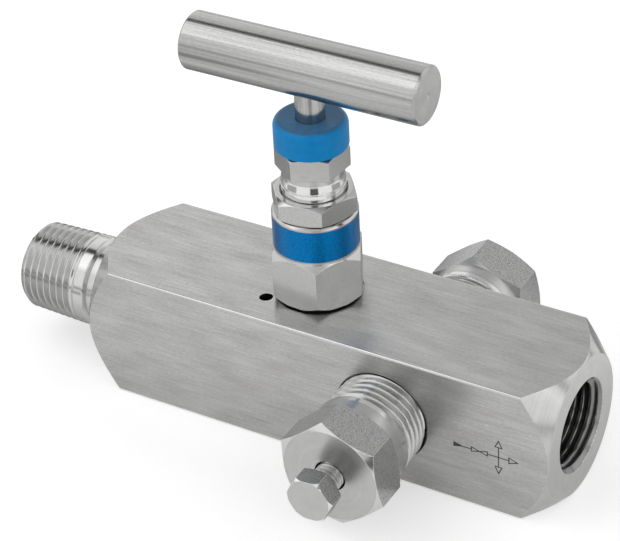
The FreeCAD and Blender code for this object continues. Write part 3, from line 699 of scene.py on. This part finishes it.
def refinish(piece, material, along, low, high, radius=20, chamfers=False):
    """Gives one of a piece's materials to faces between two heights on an axis and inside a radius.

    With `chamfers` set, only to the slanting ones.
    """
    back_again = along.inverted()
    number = piece.data.materials.find(material.name)
    for face in piece.data.polygons:
        p = back_again @ face.center
        lean = abs((back_again.to_3x3() @ face.normal).z)
        inside = low * mm < p.z < high * mm and math.hypot(p.x, p.y) < radius * mm
        if inside and (not chamfers or 0.3 < lean < 0.97):
            face.material_index = number


def dressed(node, name, body, slot, *materials, along=Matrix(), edge=0, across=0, walls=(), corners=None):
    """A copy of a CAD node with a finish of its own, in the node's place.

    Edge is the size of its broken edges and across the size over its flats, which get the second material.
    Walls are what `pull_in` is told each time, and corners what `turn_back` is told.
    """
    work = cad_mesh(node)
    for wall in walls:
        pull_in(work, along, **wall)
    if corners:
        turn_back(work, along, **corners)
    if edge:
        break_edges(work, edge)
    mesh = finish_mesh(work, name)
    if across:
        mark_flats(mesh, along, across)
    piece = new_piece(name, mesh, *materials)
    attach(piece, body)
    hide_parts(node)
    return piece


# Drawn flats: an even grey without lines, with a few pits
hex_steel = drawn_steel(
    "drawn hexagon stainless", "#B2B2B1", "#CECECD", rough=0.23, size=0.2, pit_shading=0.18)
# Turned parts: bright, with rings round the stem
upright_steel = turned_steel(
    "turned stainless on the stem's axis", (0, 0, 0), (0, 0, 1), "#BABAB9", "#C8C8C7", rough=0.18)
bonnet_body = dressed(
    "bonnet", "bonnet_body", "body", "turned_steel", upright_steel, hex_steel, painted_shade_dark,
    edge=0.1, across=19.0)
# Painted shade: no light reaches the foot under the hexagon, so it gets the near-black material
refinish(bonnet_body, painted_shade_dark, Matrix(), low=31, high=32.45)


# Label band
# A thin aluminium band pushed over the bonnet's collar and printed blue.
# A bare line is left at its top and bottom edge.

band_middle = 48.69
band_print = 3.82           # from its middle to where the print ends

# Thin blue ink on bare metal: deep and satin, with the metal's own fine grain in it
band_blue, tree = new_material("printed aluminium band")
place = add(tree, "ShaderNodeTexCoord")
in_mm = add(tree, "ShaderNodeMapping", {}, {
    "Vector": place.outputs["Object"], "Scale": Vector((1, 1, 1)) / mm})
grain = add(tree, "ShaderNodeTexNoise", {}, {"Vector": in_mm, "Scale": 4.2, "Detail": 3.0})
grain_level = add(tree, "ShaderNodeMapRange", {}, {"Value": grain, "From Min": 0.3, "From Max": 0.7})
parts = add(tree, "ShaderNodeSeparateXYZ", {}, {"Vector": place.outputs["Object"]})
from_middle = add(tree, "ShaderNodeMath", minus, {0: parts.outputs["Z"], 1: band_middle * mm})
off_middle = add(tree, "ShaderNodeMath", size_only, {0: from_middle})
at_edge = add(tree, "ShaderNodeMath", more_than, {0: off_middle, 1: band_print * mm})
blue = add(tree, "ShaderNodeMix", colours, {
    0: grain_level, 6: to_linear("#005A92"), 7: to_linear("#0086CE")})
colour = add(tree, "ShaderNodeMix", colours, {0: at_edge, 6: blue, 7: to_linear("#C9AFA0")})
band = add(tree, "ShaderNodeBsdfPrincipled", {}, {
    "Base Color": colour, "Metallic": 0.9, "Roughness": 0.3})
add(tree, "ShaderNodeOutputMaterial", {}, {"Surface": band})
dressed("label_band", "blue_band", "body", "blue_band", band_blue)


# Bonnet lock pin
# A short stainless pin driven into a sloping hole beside the bonnet, so that the bonnet can't unscrew.
# It sits deep in the hole, where no light reaches it, and is painted near-black as shade.


def give_material(node, material):
    """Gives a CAD node its only material."""
    nodes[node].data.materials.clear()
    nodes[node].data.materials.append(material)


give_material("bonnet_lock_pin", painted_shade_dark)


# Packing and its rings
# Three chevron rings pressed from white fluoropolymer seal the stem.
# They lie between a steel ring below and the gland ring above.

# Waxy white, a little cloudy and without a shine
packing_white, tree = new_material("pressed fluoropolymer")
place = add(tree, "ShaderNodeTexCoord")
cloud = add(tree, "ShaderNodeTexNoise", {}, {
    "Vector": place.outputs["Object"], "Scale": 0.9 / mm, "Detail": 2.0})
colour = add(tree, "ShaderNodeMix", colours, {
    0: cloud, 6: to_linear("#DDDCD6"), 7: to_linear("#EFEEEA")})
ring = add(tree, "ShaderNodeBsdfPrincipled", {}, {"Base Color": colour, "Roughness": 0.45})
add(tree, "ShaderNodeOutputMaterial", {}, {"Surface": ring})
for node in ("packing_ring_lower", "packing_ring_middle", "packing_ring_upper"):
    give_material(node, packing_white)
for node in ("packing_support", "gland_ring"):
    give_material(node, upright_steel)


# Lock nut and packing nut
# The thin nut locks the packing nut, which screws down through it and squeezes the packing.
# The packing nut is polished on its flare and on the flange below it.

# Polished: nearly a mirror, with the last trace of the rings; its colour is lighter than real stainless,
# partly a painted highlight
polished = turned_steel("polished stainless", (0, 0, 0), (0, 0, 1), "#E2E2E1", "#EDEDEC", rough=0.1)
nut_mouth = {"low": 58.1, "high": 58.3, "inside": 7.5, "outside": 7.9, "radius": 7.35}
dressed(
    "lock_nut", "thin_nut", "body", "turned_steel", upright_steel, hex_steel,
    edge=0.1, across=17.0, walls=[nut_mouth])
gland_nut = dressed(
    "packing_nut", "gland_nut", "body", "turned_steel", upright_steel, hex_steel, polished,
    edge=0.08, across=14.0)
refinish(gland_nut, polished, Matrix(), low=50, high=62.15)


# Stem and its tip
# Drawn and polished stainless rod with the rising screw on it.
# Its separate hard tip closes the seat and doesn't turn with it.

# Drawn and polished: clear reflections with long faint lines up the rod
rod_steel = brushed_steel(
    "drawn stainless rod", (0, 0, 0), (0, math.pi / 2, 0), "#A2A2A1", "#CCCCCB",
    rough=0.17, length=40, relief=0.12, spread=0.2, fine=0.2)
dressed("stem", "valve_stem", "stem_spindle", "polished_steel", rod_steel)
give_material("stem_tip", polished)


# Dust cap
# A moulded blue plastic cap pressed over the packing nut, round the stem.
# It is worn and dusty on its flat top.

cap_shoulder = 74.9
cap_top = 75.4

# Moulded polypropylene: an even satin blue, greyer where dust lies on it
cap_blue, tree = new_material("moulded blue polypropylene")
place = add(tree, "ShaderNodeTexCoord")
parts = add(tree, "ShaderNodeSeparateXYZ", {}, {"Vector": place.outputs["Object"]})
in_mm = add(tree, "ShaderNodeMapping", {}, {
    "Vector": place.outputs["Object"], "Scale": Vector((1, 1, 1)) / mm})
dust_noise = add(tree, "ShaderNodeTexNoise", {}, {"Vector": in_mm, "Scale": 0.7, "Detail": 4.0})
on_top = add(tree, "ShaderNodeMapRange", smooth, {
    "Value": parts.outputs["Z"], "From Min": cap_shoulder * mm, "From Max": cap_top * mm,
    "To Min": 0.0, "To Max": 1.3})
dust = add(tree, "ShaderNodeMath", multiply, {0: on_top, 1: dust_noise})
blue = add(tree, "ShaderNodeMix", colours, {
    0: dust_noise, 6: to_linear("#007AB8"), 7: to_linear("#008ACE")})
colour = add(tree, "ShaderNodeMix", colours, {0: dust, 6: blue, 7: to_linear("#4C6273")})
bump = add(tree, "ShaderNodeBump", {}, {"Strength": 0.15, "Distance": 0.02 * mm, "Height": dust_noise})
plastic = add(tree, "ShaderNodeBsdfPrincipled", {}, {
    "Base Color": colour, "Roughness": 0.3, "Specular IOR Level": 0.18, "Normal": bump})
add(tree, "ShaderNodeOutputMaterial", {}, {"Surface": plastic})
dressed("dust_cap", "blue_cap", "body", "blue_plastic", cap_blue)


# T handle
# Half-inch stainless rod pushed through the head of the stem and held by a set screw at the back.
# It is brushed along its length, and its ends are faced and chamfered.

handle_z = 87.31
handle_turn = math.radians(0.75)
# Brushed: the room is drawn out into streaks along the rod
handle_steel = brushed_steel(
    "brushed stainless rod", (0, 0, handle_z), (0, 0, handle_turn), "#A3A3A2", "#C3C3C2",
    rough=0.18, length=40, relief=0.15, spread=0.25, fine=0.35)
handle_axis = (math.cos(handle_turn), math.sin(handle_turn), 0)
# Faced ends: flat grey with rings
tip_steel = turned_steel(
    "turned rod ends", (0, 0, handle_z), handle_axis, "#ADADAC", "#BDBDBC", rough=0.28)
t_bar = dressed(
    "handle_bar", "t_bar", "stem_spindle", "turned_steel", handle_steel, tip_steel, edge=0.1)
for face in t_bar.data.polygons:
    if abs(face.normal.dot(Vector(handle_axis))) > 0.3:
        face.material_index = 1
give_material("handle_set_screw", upright_steel)


# Bleed plug, ball and bleed screw
# A hexagon pipe plug in the front port, drilled for the small screw that presses a ball on the bleed seat.
# The plug stays put, and the screw is turned out to bleed.

plug_centre = (23.6, 0, axis_z)
plug_hexagon = 22.2
# Turned faces: satin, with rings
plug_steel = turned_steel(
    "turned stainless plugs", plug_centre, (0, 1, 0), "#BABAB9", "#C8C8C7", rough=0.3)
# Threads and chamfers, which are cut last: coloured as the brightest part of a plug, which is partly
# painted light, and on the chamfers a painted highlight
plug_thread_steel_painted_light = turned_steel(
    "cut threads and chamfers of the plugs", plug_centre, (0, 1, 0), "#CECECD", "#DADAD9", rough=0.17)
# Drawn flats: they mirror the room, between pits painted dark as shade
plug_flat_steel = drawn_steel(
    "drawn hexagon of the plugs", "#B8B8B7", "#D4D4D3", rough=0.15, size=0.2, pit_shading=0.75)
plug_thread_wall = {"low": 5.7, "high": 26.05, "inside": 9.5, "outside": 10.98, "radius": 9.0}
plug_thread_start = 14.5    # from the bar's axis, inside the port


def pipe_plug(node, direction, *materials, walls=()):
    """A pipe plug that points out of the bar, with the turns of its thread that stand out of the port."""
    along = laid_along(direction, plug_centre)
    body = dressed(
        node, node + "_body", "body", "turned_steel",
        plug_steel, plug_flat_steel, plug_thread_steel_painted_light, *materials,
        along=along, edge=0.1, across=plug_hexagon, walls=[plug_thread_wall, *walls])
    # The chamfers take the brighter colour as a painted highlight
    refinish(body, plug_thread_steel_painted_light, along, low=37.2, high=38.39, chamfers=True)
    thread_start = laid_along(direction, plug_centre, ahead=plug_thread_start)
    cut_thread(node + "_thread", thread_start, plug_thread_steel_painted_light, "body", {
        "Crest": 10.58, "Depth": 1.3, "Pitch": pipe_pitch, "Length": 11.52, "Taper": pipe_taper,
        "Start Radius": 9.2, "End Radius": 11.0, "Largest Radius": 11.0, "Core Radius": 8.5,
        "Plain From": 10.6, "Run-out": 1.6, "Side": 1}, turns=8)
    return body


front = (0, -1, 0)
bleed_axis = laid_along(front, plug_centre)
bleed_mouth = {"low": 36.8, "high": 38.5, "inside": 3.3, "outside": 3.4, "radius": 3.6}
bleed_body = pipe_plug("bleed_plug", front, painted_shade_dark, walls=[bleed_mouth])
# Painted shade: the deep gap round the screw gets the near-black material
refinish(bleed_body, painted_shade_dark, bleed_axis, low=36, high=38.3, radius=3.7)
give_material("bleed_ball", polished)

# The small screw's flats: a darker, rougher skin; the darker colour is painted shade
screw_flat_steel_painted_shade = drawn_steel(
    "drawn hexagon of the bleed screw", "#828281", "#A8A8A7", rough=0.32, size=0.25, pit_shading=0.6)
# Its chamfer: a painted highlight, a bright ring round the darker head
chamfer_steel_painted_highlight = turned_steel(
    "turned chamfer, painted highlight", plug_centre, (0, 1, 0), "#E2E2E1", "#EDEDEC", rough=0.15)
screw_thread_wall = {"low": 24.0, "high": 42.81, "inside": 3.0, "outside": 3.25, "radius": 2.55}
bleed_screw = dressed(
    "bleed_screw", "bleed_screw_body", "bleed_spindle", "turned_steel",
    plug_steel, screw_flat_steel_painted_shade, chamfer_steel_painted_highlight,
    along=bleed_axis, edge=0.06, across=9.525, walls=[screw_thread_wall],
    corners={"top": 47.4, "start": 4.86, "slope": 1.1})
refinish(bleed_screw, chamfer_steel_painted_highlight, bleed_axis, low=46.4, high=47.39, chamfers=True)
screw_thread_start = laid_along(front, plug_centre, ahead=34)
cut_thread("bleed_screw_thread", screw_thread_start, plug_steel, "bleed_spindle", {
    "Crest": 3.17, "Depth": 0.5, "Pitch": 0.907, "Length": 8.82, "Taper": 0,
    "Start Radius": 2.6, "End Radius": 3.1, "Largest Radius": 3.17, "Core Radius": 2.0,
    "Plain From": 20, "Run-out": 1, "Side": 1}, turns=11, around=64)


# Blank plug
# The same pipe plug without a hole, screwed into the back port.
# Nothing in it moves.

pipe_plug("blank_plug", (0, 1, 0))
